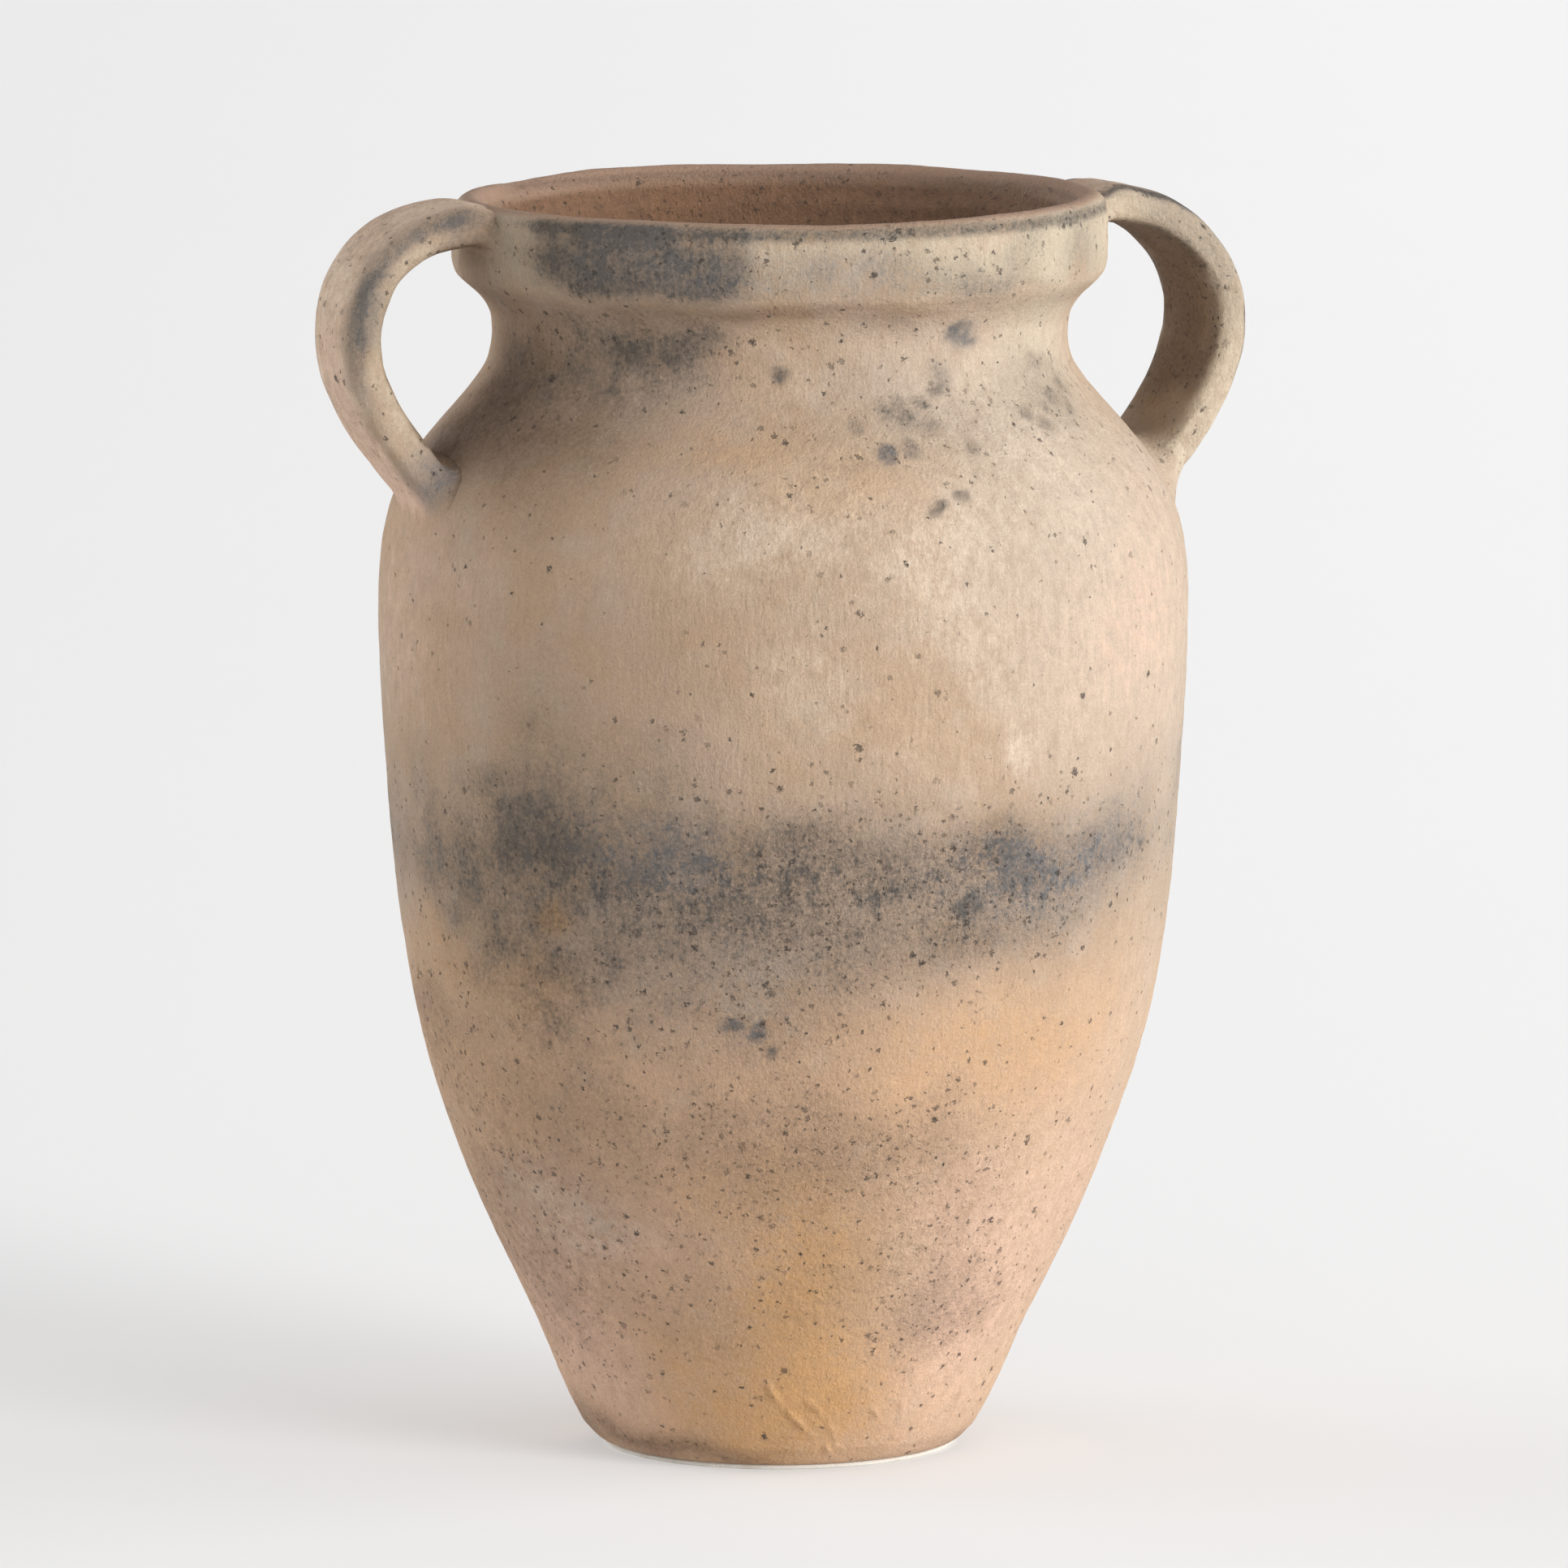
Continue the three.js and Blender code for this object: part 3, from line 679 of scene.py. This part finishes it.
def strap_marks(points, share, turn, side, landed):
    """Strength of every mark on a strap.

    share is how far along the strap the points lie, from 0 at the collar, and landed is the share
    at which the strap reaches the shoulder.
    """
    share, turn = np.broadcast_arrays(np.asarray(share, float), turn)
    face = np.sin(turn * 2 * math.pi) + 0.16 * noise(points, 12, SEED + 95)
    across = np.cos(turn * 2 * math.pi)
    share = share + 0.05 * noise(points, 22, SEED + 96)
    flank = smoothstep(np.abs(across), 0.45, 0.8)
    finger = smoothstep(-face, 0.55, 0.85)
    outer = smoothstep(face, 0.6, 0.9)
    ridge = np.exp(-(((face - 0.42) / 0.34) ** 2))
    root = smoothstep(share, landed - 0.15, landed - 0.02)
    if side == "left":
        middle = smoothstep(share, 0.0, 0.12) * (1 - smoothstep(share, 0.45, 0.75))
        smudge = np.exp(-(((share - 0.42) / 0.08) ** 2) - (face / 0.6) ** 2)
        soot = flank * (0.7 * middle * ridge + 0.5 * smudge)
        soot = soot + 0.6 * flank * root + 0.3 * np.exp(-(((share - 0.1) / 0.09) ** 2)) * flank
        cream = flank * 0.45 * smoothstep(share, 0.06, 0.3) * (1 - root)
        cream = cream * (0.4 + 0.6 * smoothstep(-face, -0.3, 0.3))
        # Darker clay and painted shade on the finger side and on the flanks next to the collar
        umber = 0.3 * finger + 0.25 * flank * (1 - smoothstep(share, 0.05, 0.25))
        rose = outer * (0.35 + 0.4 * smoothstep(share, 0.45, 0.8) + 0.2 * root)
    else:
        line = np.exp(-(((face - 0.72) / 0.12) ** 2)) * (1 - smoothstep(share, 0.5, 0.7))
        soot = 0.85 * line + 0.35 * flank * smoothstep(share, 0.04, 0.2) * (1 - smoothstep(share, 0.3, 0.6))
        cream = flank * 0.6
        # Painted shade on the shaded finger side, with darker clay, fading towards the shoulder
        finger = finger * (1 - 0.8 * smoothstep(share, landed - 0.26, landed - 0.08))
        umber = 0.5 * finger
        rose = 0.3 * outer
    still = np.zeros(share.shape)
    found = {key: still for key in MARKS}
    found.update(soot=soot, cream=cream, umber=umber, rose=rose, blue=0.9 * flank * root + 0.2 * flank)
    found["grit"] = 0.16 + 0.5 * finger + (0.5 if side == "right" else 0.1) * soot
    # Painted sheen on the right strap, which faces the light
    found["painted_sheen"] = still + (0.35 if side == "right" else 0.0)
    found["ochre"] = 0.45 * finger
    patches = 0.3 * smoothstep(noise(points, 30, SEED + 97), 0, 0.5)
    found["bloom"] = outer * (patches + (0.2 if side == "left" else 0.0))
    found["crest"] = 0.45 * outer * (1 - smoothstep(share, 0.0, 0.25))
    found["inside"] = still
    return found


FILLET_ROWS = 16
SUNK = 0.3  # how far a fillet's thin edges dip under what they meet
UPPER_SIZE = 10.0 * np.clip(1.5 - 1.2 * np.abs(SINE + 0.1), 0.3, 1)
LOWER_SIZES = {
    "left": 8.0 + SINE + 2.0 * (1 - SINE**2),
    "right": 16.0 - SINE + 2.0 * (1 - SINE**2),
}


def root_fillet(name, strap, end, size, side):
    """Clay smoothed into the corner round a strap's root: a ring with a hollow face.

    end is 0 at the collar and 1 at the shoulder, and size is the clay's reach at each of TURNS.
    """
    at = landing(strap, TURNS, end)
    root = strap.points(at, TURNS)
    normal = pot_normal(root)
    away = 1 if end == 0 else -1
    out = unit(strap.points(at, TURNS, 1.0) - root)
    aside = unit(out - normal * (out * normal).sum(-1)[:, None])
    low = smoothstep(CREST - 3 - root[:, 2], 0, 10)  # none on top, where the strap runs into the lip
    leg = np.maximum(size * low, 0.4) * (1 + 0.16 * noise(root, 17, SEED + 70))
    hollow = 2.0 - (0.8 * np.cos(TURNS * 2 * math.pi) ** 4 if end == 1 else 0.0)  # flatter on the flanks
    layers = []
    for share in np.linspace(0, 1, FILLET_ROWS):
        p = strap.points(at + away * leg * share**hollow, TURNS, -SUNK * share**6 - 1.5 * (1 - low))
        p = p + aside * (leg * (1 - share) ** hollow)[:, None]
        wanted = leg * share**hollow * 0.9 - SUNK * (1 - share) ** 6
        off = wanted - stand_off(p) * np.abs((normal * unit(p * [1, 1, 0])).sum(-1))
        p = p + pot_normal(p) * (off * low * (1 - share) ** 2)[:, None]
        layers.append(p)
    layers.append(strap.points(at - away * 1.5, TURNS, -2.0))  # inside the strap
    points = lean(np.array(layers))
    count = len(layers)
    flip = end == 1
    faces = []
    for i in range(count):
        quads = strip_faces(i, (i + 1) % count, STRAP_COLUMNS)
        faces += (quads[:, ::-1] if flip else quads).tolist()
    shares = np.r_[np.linspace(0, 1, FILLET_ROWS), 1.0][:, None]
    landed = strap.share(landing(strap, TURNS, 1).min())
    ring = strap.share(at)[None] + away * (leg / strap.length)[None] * shares**2
    on_wall = wall_marks(points)
    on_strap = strap_marks(points, ring, TURNS[None], side, landed)
    crisp = (1 - smoothstep(SINE, -0.3, 0.5))[None] if end == 1 and side == "left" else 0.0
    blend = smoothstep(shares, 0.1, 0.95) * (1 - crisp) + smoothstep(shares, 0.0, 0.45) * crisp
    looks = {k: v * blend + on_wall.get(k, 0) * (1 - blend) for k, v in on_strap.items()}
    looks["umber"] = looks["umber"] + 0.6 * crisp * np.exp(-((shares / 0.22) ** 2))  # painted shade in the crease
    looks = {k: v.ravel() for k, v in looks.items()}
    return make_piece(name, points.reshape(-1, 3), faces, None, looks)


def strap_piece(name, strap, side):
    """A whole strap, with its two ends closed inside the pot's clay."""
    t = np.linspace(strap.start, strap.stop, STRAP_ROWS)
    grid = lean(np.array([strap.points(v, TURNS) for v in t]))
    points = grid.reshape(-1, 3)
    faces = np.concatenate([strip_faces(i, i + 1, STRAP_COLUMNS) for i in range(STRAP_ROWS - 1)]).tolist()
    for row, flip in ((0, False), (STRAP_ROWS - 1, True)):
        ring = row_points(row, STRAP_COLUMNS)
        faces += fan(ring, len(points), flip)
        points = np.vstack([points, points[ring].mean(0)])
    landed = strap.share(landing(strap, TURNS, 1).min())
    looks = strap_marks(grid, strap.share(t)[:, None], TURNS[None], side, landed)
    looks = {k: np.r_[v.ravel(), v[0].mean(), v[-1].mean()] for k, v in looks.items()}
    return make_piece(name, points, faces, None, looks)


for seed, (side, spec) in enumerate(HANDLES.items()):
    strap = Strap(seed=seed, **spec)
    pieces[f"{side}_handle"] = strap_piece(f"strap_{side}", strap, side)
    for end, node, name, size in (
        (0, "upper_fillet", "luting_top", UPPER_SIZE),
        (1, "lower_fillet", "luting_foot", LOWER_SIZES[side]),
    ):
        pieces[f"{side}_handle_{node}"] = root_fillet(f"{name}_{side}", strap, end, size, side)


# ---- Pad under the foot ----

PAD_INSET = 0.2  # the pad's ragged edge lies this far inside the CAD's on average


def pad_piece():
    """The thin disc under the foot, with a slightly ragged edge."""
    outline = [
        (30, 0.0), (60, 0.0), (PAD_RADIUS - 1.0, 0.0), (PAD_RADIUS - 0.3, 0.3), (PAD_RADIUS, 0.9),
        (PAD_RADIUS - 0.1, 1.5), (PAD_RADIUS - 0.8, PAD_TOP), (60, PAD_TOP), (30, PAD_TOP),
    ]
    points = []
    for radius, height in outline:
        p = cylinder(angles, np.full(COLUMNS, height), np.full(COLUMNS, float(radius)))
        ragged = 0.25 * fractal(p, 7, SEED + 80) * (radius > PAD_RADIUS - 2)
        points.append(cylinder(angles, p[:, 2], radius + ragged - PAD_INSET))
    count = len(points)
    points = np.concatenate(points)
    faces = np.concatenate([strip_faces(i, i + 1, COLUMNS) for i in range(count - 1)]).tolist()
    for row, height, flip in ((0, 0.0, False), (count - 1, PAD_TOP, True)):
        faces += fan(row_points(row, COLUMNS), len(points), flip)
        points = np.vstack([points, [0, 0, height]])
    return make_piece("pad", lean(points), faces)


pieces["base_pad"] = pad_piece()


# ---- Materials ----

def rgb(r, g, b):
    """Linear colour of an 8-bit screen colour."""
    return tuple(((v / 255 + 0.055) / 1.055) ** 2.4 for v in (r, g, b)) + (1.0,)


class Graph:
    """Short names for the nodes of one material."""

    def __init__(self, name):
        self.material = bpy.data.materials.new(name)
        self.material.use_nodes = True
        self.tree = self.material.node_tree
        self.shader = self.tree.nodes["Principled BSDF"]

    def put(self, socket, value):
        if isinstance(value, bpy.types.NodeSocket):
            self.tree.links.new(value, socket)
        else:
            socket.default_value = value

    def node(self, kind, **props):
        n = self.tree.nodes.new(kind)
        for key, value in props.items():
            setattr(n, key, value)
        return n

    def math(self, operation, a, b=0.0, clamp=False):
        n = self.node("ShaderNodeMath", operation=operation, use_clamp=clamp)
        self.put(n.inputs[0], a)
        self.put(n.inputs[1], b)
        return n.outputs[0]

    def vector(self, operation, a, b):
        n = self.node("ShaderNodeVectorMath", operation=operation)
        self.put(n.inputs[0], a)
        self.put(n.inputs["Scale" if operation == "SCALE" else 1], b)
        return n.outputs["Value" if operation == "DOT_PRODUCT" else "Vector"]

    def stretch(self, p, x, y, z):
        return self.vector("MULTIPLY", p, (x, y, z))

    def noise(self, p, size, detail=3.0, rough=0.55, colour=False):
        """Noise with lumps about size millimetres across."""
        n = self.node("ShaderNodeTexNoise")
        self.put(n.inputs["Vector"], p)
        self.put(n.inputs["Scale"], 1.0 / size)
        self.put(n.inputs["Detail"], detail)
        self.put(n.inputs["Roughness"], rough)
        return n.outputs["Color" if colour else "Fac"]

    def clamped(self, value):
        return self.math("MULTIPLY", value, 1.0, clamp=True)

    def step(self, x, low, high, to_low=0.0, to_high=1.0):
        """A soft step of x between low and high, from to_low to to_high."""
        n = self.node("ShaderNodeMapRange", interpolation_type="SMOOTHSTEP")
        sockets = ("Value", "From Min", "From Max", "To Min", "To Max")
        for key, value in zip(sockets, (x, low, high, to_low, to_high)):
            self.put(n.inputs[key], value)
        return n.outputs["Result"]

    def mix(self, share, a, b, blend="MIX"):
        n = self.node("ShaderNodeMix", data_type="RGBA", blend_type=blend)
        self.put(n.inputs[0], share)
        self.put(n.inputs[6], a)
        self.put(n.inputs[7], b)
        return n.outputs[2]

    def attribute(self, name):
        return self.node("ShaderNodeAttribute", attribute_name=name).outputs["Fac"]

    def bump(self, height, strength, depth):
        """Gives the shader's surface a relief, depth millimetres deep where height rises by 1."""
        n = self.node("ShaderNodeBump")
        self.put(n.inputs["Strength"], strength)
        self.put(n.inputs["Distance"], depth * MM)
        self.put(n.inputs["Height"], height)
        self.put(self.shader.inputs["Normal"], n.outputs[0])

    def times(self, *values):
        total = values[0]
        for value in values[1:]:
            total = self.math("MULTIPLY", total, value)
        return total

    def most(self, *values):
        total = values[0]
        for value in values[1:]:
            total = self.math("MAXIMUM", total, value)
        return total


TAN = rgb(172, 149, 128)
TAN_WARM = rgb(170, 144, 118)
TAN_LOW_LIT = rgb(189, 156, 127)
# Warmer low tone, lightened as painted bounce light from the floor
TAN_PALE = rgb(176, 161, 144)
ROSE = rgb(200, 166, 144)
OCHRE = rgb(181, 141, 97)
BLOOM = rgb(204, 187, 168)
CHARCOAL = rgb(86, 79, 72)
BLUE_GREY = rgb(106, 107, 110)
CREAM = rgb(182, 168, 146)
# Dark pit colour: dark specks together with painted shade in pits
PIT_SHADE = rgb(66, 58, 52)
# Dark brown, standing also for painted shade
UMBER_AND_SHADE = rgb(104, 82, 64)
INSIDE = rgb(126, 91, 65)
CREST_BROWN = rgb(140, 112, 94)
FELT_DARK, FELT_PALE, FELT_DIRT = rgb(196, 190, 180), rgb(222, 217, 208), rgb(178, 163, 144)

LIT_WARM_BELOW = (235, 165)  # heights between which the clay turns to its low tone, going down: warmer, and lighter as painted bounce light from the floor

# Marks in the order they are laid: (key, tone, strength, how much the flecks break its edge)
# The paler layer paints sheen on the lit side, and the dark brown layer is darker clay together with painted
# shade
LAYERS = [
    ("painted_sheen", TAN_PALE, 1.0, 0.8), ("rose", ROSE, 1.0, 1.2), ("ochre", OCHRE, 1.0, 1.4),
    ("cream", CREAM, 1.0, 1.4), ("bloom", BLOOM, 0.9, 1.3), ("umber", UMBER_AND_SHADE, 1.0, 1.0),
]

# Pits: (spacing, share of places with a pit where grit is 1, usual reach in spacings, offset)
PITS = [(2.0, 0.42, 0.34, 0.0), (3.8, 0.55, 0.27, 91.0), (8.0, 0.2, 0.18, 47.0)]
SHINE = 0.35  # specular level of the clay


def clay(name):
    """Fired clay whose tones follow the marks stored on its mesh."""
    g = Graph(name)
    p = g.vector("SCALE", g.node("ShaderNodeTexCoord").outputs["Object"], 1 / MM)
    drift = g.vector("SUBTRACT", g.noise(p, 1.5, 3.0, 0.65, colour=True), (0.5, 0.5, 0.5))
    ragged = g.vector("ADD", p, g.vector("SCALE", drift, 3.0))
    upright = g.stretch(p, 1, 1, 0.2)  # stretches noise into upright streaks

    broad = g.noise(p, 60, 3.0)
    cloud = g.noise(p, 15, 5.0, 0.62)
    mottle = g.noise(p, 6.5, 7.0, 0.72)
    streak = g.noise(upright, 2.4, 4.0, 0.65)
    grain = g.noise(p, 0.9, 3.0, 0.7)
    speckle = g.noise(p, 2.0, 4.0, 0.75)
    fleck = g.math("ADD", mottle, g.times(speckle, 0.8))
    fleck = g.math("ADD", fleck, g.times(streak, 0.4))
    fleck = g.math("SUBTRACT", fleck, 1.1)

    grit = g.attribute("grit")

    def cover(key, colour, tone, strength, break_up):
        """Lays a tone over the colour where a mark is strong, broken up by the flecks."""
        mark = g.clamped(g.attribute(key))
        open_to_flecks = g.times(mark, g.math("SUBTRACT", 1.2, mark), 3.0)
        share = g.math("ADD", mark, g.times(fleck, open_to_flecks, break_up), clamp=True)
        return g.mix(g.times(share, strength), colour, tone)

    colour = g.mix(g.step(broad, 0.4, 0.6), TAN_WARM, TAN)
    height = g.node("ShaderNodeSeparateXYZ")
    g.put(height.inputs[0], p)
    # Warmer and lighter lower body; the lightness is painted bounce light from the floor
    colour = g.mix(g.step(height.outputs["Z"], *LIT_WARM_BELOW), colour, TAN_LOW_LIT)
    colour = g.mix(g.times(g.step(cloud, 0.5, 0.75), 0.35), colour, TAN_PALE)
    for key, tone, strength, break_up in LAYERS:
        colour = cover(key, colour, tone, strength, break_up)
    tone = g.mix(g.clamped(g.attribute("blue")), CHARCOAL, BLUE_GREY)
    colour = cover("soot", colour, tone, 0.97, g.math("ADD", 0.9, g.times(grit, 1.7)))
    colour = cover("crest", colour, CREST_BROWN, 0.85, 0.6)
    colour = cover("inside", colour, INSIDE, 0.9, 0.3)

    # Pits: small ragged dark dots, partly dark specks and partly painted shade in the pits, close together
    # where the grit mark says
    torn = g.step(grain, 0.2, 0.8, -0.75, 0.75)
    dots = []
    for size, rate, radius, offset in PITS:
        cells = g.node("ShaderNodeTexVoronoi")
        g.put(cells.inputs["Vector"], g.vector("ADD", ragged, (offset,) * 3))
        g.put(cells.inputs["Scale"], 1.0 / size)
        chance = g.node("ShaderNodeSeparateColor")
        g.put(chance.inputs[0], cells.outputs["Color"])
        picked = g.math("LESS_THAN", chance.outputs[0], g.times(grit, rate))
        reach = g.times(g.math("ADD", chance.outputs[1], 0.35), radius)
        edge = g.math("ADD", g.math("DIVIDE", cells.outputs["Distance"], reach), torn)
        dot = g.step(edge, 1.15, 0.6)
        dots.append(g.times(dot, picked, g.step(chance.outputs[2], 0.0, 1.0, 0.35, 1.0)))
    dots = g.most(*dots)
    colour = g.mix(g.times(dots, g.step(cloud, 0.3, 0.6, 0.6, 0.9)), colour, PIT_SHADE)

    # Fine variation of brightness, stronger where there is grit
    light = g.math("ADD", g.step(grain, 0.25, 0.75, 0.88, 1.08), g.step(streak, 0.3, 0.7, -0.05, 0.05))
    rugged = g.step(grit, 0.0, 1.0, 0.6, 2.2)
    light = g.math("ADD", light, g.times(g.step(mottle, 0.3, 0.7, -0.09, 0.09), rugged))
    stain = g.times(g.step(g.noise(ragged, 3.2, 5.0, 0.75), 0.54, 0.7), g.step(grit, 0.1, 0.9, 0.0, 0.34))
    light = g.math("ADD", g.math("SUBTRACT", light, stain), g.step(grit, 0.1, 0.9, 0.0, 0.06))
    shade = g.node("ShaderNodeCombineColor")
    for socket in shade.inputs:
        g.put(socket, light)
    colour = g.mix(1.0, colour, shade.outputs[0], "MULTIPLY")
    g.put(g.shader.inputs["Base Color"], colour)

    rough = g.step(g.noise(p, 8, 4.0), 0.3, 0.7, 0.74, 0.92)
    rough = g.math("SUBTRACT", rough, g.times(g.attribute("inside"), 0.42))
    g.put(g.shader.inputs["Roughness"], rough)
    g.shader.inputs["Specular IOR Level"].default_value = SHINE

    coarse = g.step(grit, 0.1, 0.8, 0.65, 1.7)
    relief = g.times(g.noise(p, 2.8, 5.0, 0.75), 1.25, coarse)
    relief = g.math("ADD", relief, g.times(g.noise(p, 1.1, 2.0, 0.6), 0.4))
    relief = g.math("ADD", relief, g.times(g.noise(upright, 1.8, 2.0, 0.6), 0.45))
    relief = g.math("ADD", relief, g.times(g.noise(p, 1.5, 4.0, 0.75), g.step(grit, 0.15, 0.8, 0.0, 1.9)))
    relief = g.math("SUBTRACT", relief, g.times(dots, 0.5))
    g.bump(relief, 1.0, 1.0)
    return g.material


def felt(name):
    """Pale felt, a little dirty."""
    g = Graph(name)
    p = g.vector("SCALE", g.node("ShaderNodeTexCoord").outputs["Object"], 1 / MM)
    fibre = g.noise(g.stretch(p, 1, 1, 3), 0.7, 4.0, 0.7)
    dirt = g.noise(p, 11, 4.0)
    colour = g.mix(g.step(fibre, 0.3, 0.7), FELT_DARK, FELT_PALE)
    colour = g.mix(g.step(dirt, 0.5, 0.75, 0.0, 0.5), colour, FELT_DIRT)
    g.put(g.shader.inputs["Base Color"], colour)
    g.put(g.shader.inputs["Roughness"], g.step(dirt, 0.3, 0.7, 0.9, 1.0))
    g.bump(fibre, 0.8, 0.4)
    return g.material


materials = {name: clay(name) for name in ("wall_clay", "collar_clay", "handle_clay")}
materials["felt"] = felt("pad_felt")
SLOTS = {s["node"]: s["material_slot"] for s in frame["record"]["subparts"]}
for node, piece in pieces.items():
    slot = SLOTS[node]
    piece.data.materials.append(materials[slot])
    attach(piece, "root")
    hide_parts(node)


# ---- Floor and light ----

HORIZON_LIGHT = 0.87
ZENITH_LIGHT = 0.42
FLOOR_TONE = 0.55
FLOOR_RADIUS = 60.0  # metres
FLOOR_GLOW = 0.32  # part of the floor's brightness that shadows don't take away
GLOW_REACH = 0.9  # metres to each side over which the glow rises, from left to right
SUNS = [  # (facing degrees, elevation degrees, strength, angular size in degrees)
    (52, 13, 2.95, 28),
    (95, 12, 1.6, 50),
    (-105, 6, 2.0, 60),
]

bpy.ops.mesh.primitive_circle_add(vertices=96, radius=FLOOR_RADIUS, fill_type="NGON", location=(0, 0, 0))
floor = bpy.context.object
floor.name = "floor"
g = Graph("floor")
ground = g.node("ShaderNodeTexCoord").outputs["Object"]
tone = g.noise(ground, 0.35, 2.0)
cool = (FLOOR_TONE, FLOOR_TONE * 0.99, FLOOR_TONE * 0.99, 1)
warm = (FLOOR_TONE * 1.01, FLOOR_TONE, FLOOR_TONE, 1)
g.put(g.shader.inputs["Base Color"], g.mix(tone, cool, warm))
aside = g.vector("DOT_PRODUCT", ground, tuple(RIGHT))
glow = g.step(aside, -GLOW_REACH, GLOW_REACH, FLOOR_GLOW * 0.86, FLOOR_GLOW * 1.12)
g.put(g.shader.inputs["Emission Color"], (1, 1, 1, 1))
g.put(g.shader.inputs["Emission Strength"], glow)
g.shader.inputs["Roughness"].default_value = 0.9
g.shader.inputs["Specular IOR Level"].default_value = 0.0
floor.data.materials.append(g.material)

for index, (facing, elevation, strength, size) in enumerate(SUNS):
    sun = bpy.data.lights.new(f"sun_{index}", "SUN")
    sun.energy = strength
    sun.angle = math.radians(size)
    lamp = bpy.data.objects.new(f"sun_{index}", sun)
    turn = facing_to_angle(facing)
    tall = math.radians(elevation)
    towards = Vector((math.cos(turn) * math.cos(tall), math.sin(turn) * math.cos(tall), math.sin(tall)))
    lamp.rotation_euler = towards.to_track_quat("Z", "Y").to_euler()
    bpy.context.scene.collection.objects.link(lamp)

world = bpy.data.worlds.new("studio")
world.use_nodes = True
sky = world.node_tree
direction = sky.nodes.new("ShaderNodeSeparateXYZ")
sky.links.new(sky.nodes.new("ShaderNodeTexCoord").outputs["Generated"], direction.inputs[0])
fade = sky.nodes.new("ShaderNodeMapRange")
fade.inputs["To Min"].default_value = HORIZON_LIGHT
fade.inputs["To Max"].default_value = ZENITH_LIGHT
sky.links.new(direction.outputs["Z"], fade.inputs["Value"])
sky.links.new(fade.outputs["Result"], sky.nodes["Background"].inputs["Strength"])
sky.nodes["Background"].inputs["Color"].default_value = (1, 1, 1, 1)
bpy.context.scene.world = world
bpy.context.scene.view_settings.view_transform = "Standard"
bpy.context.scene.view_settings.look = "None"
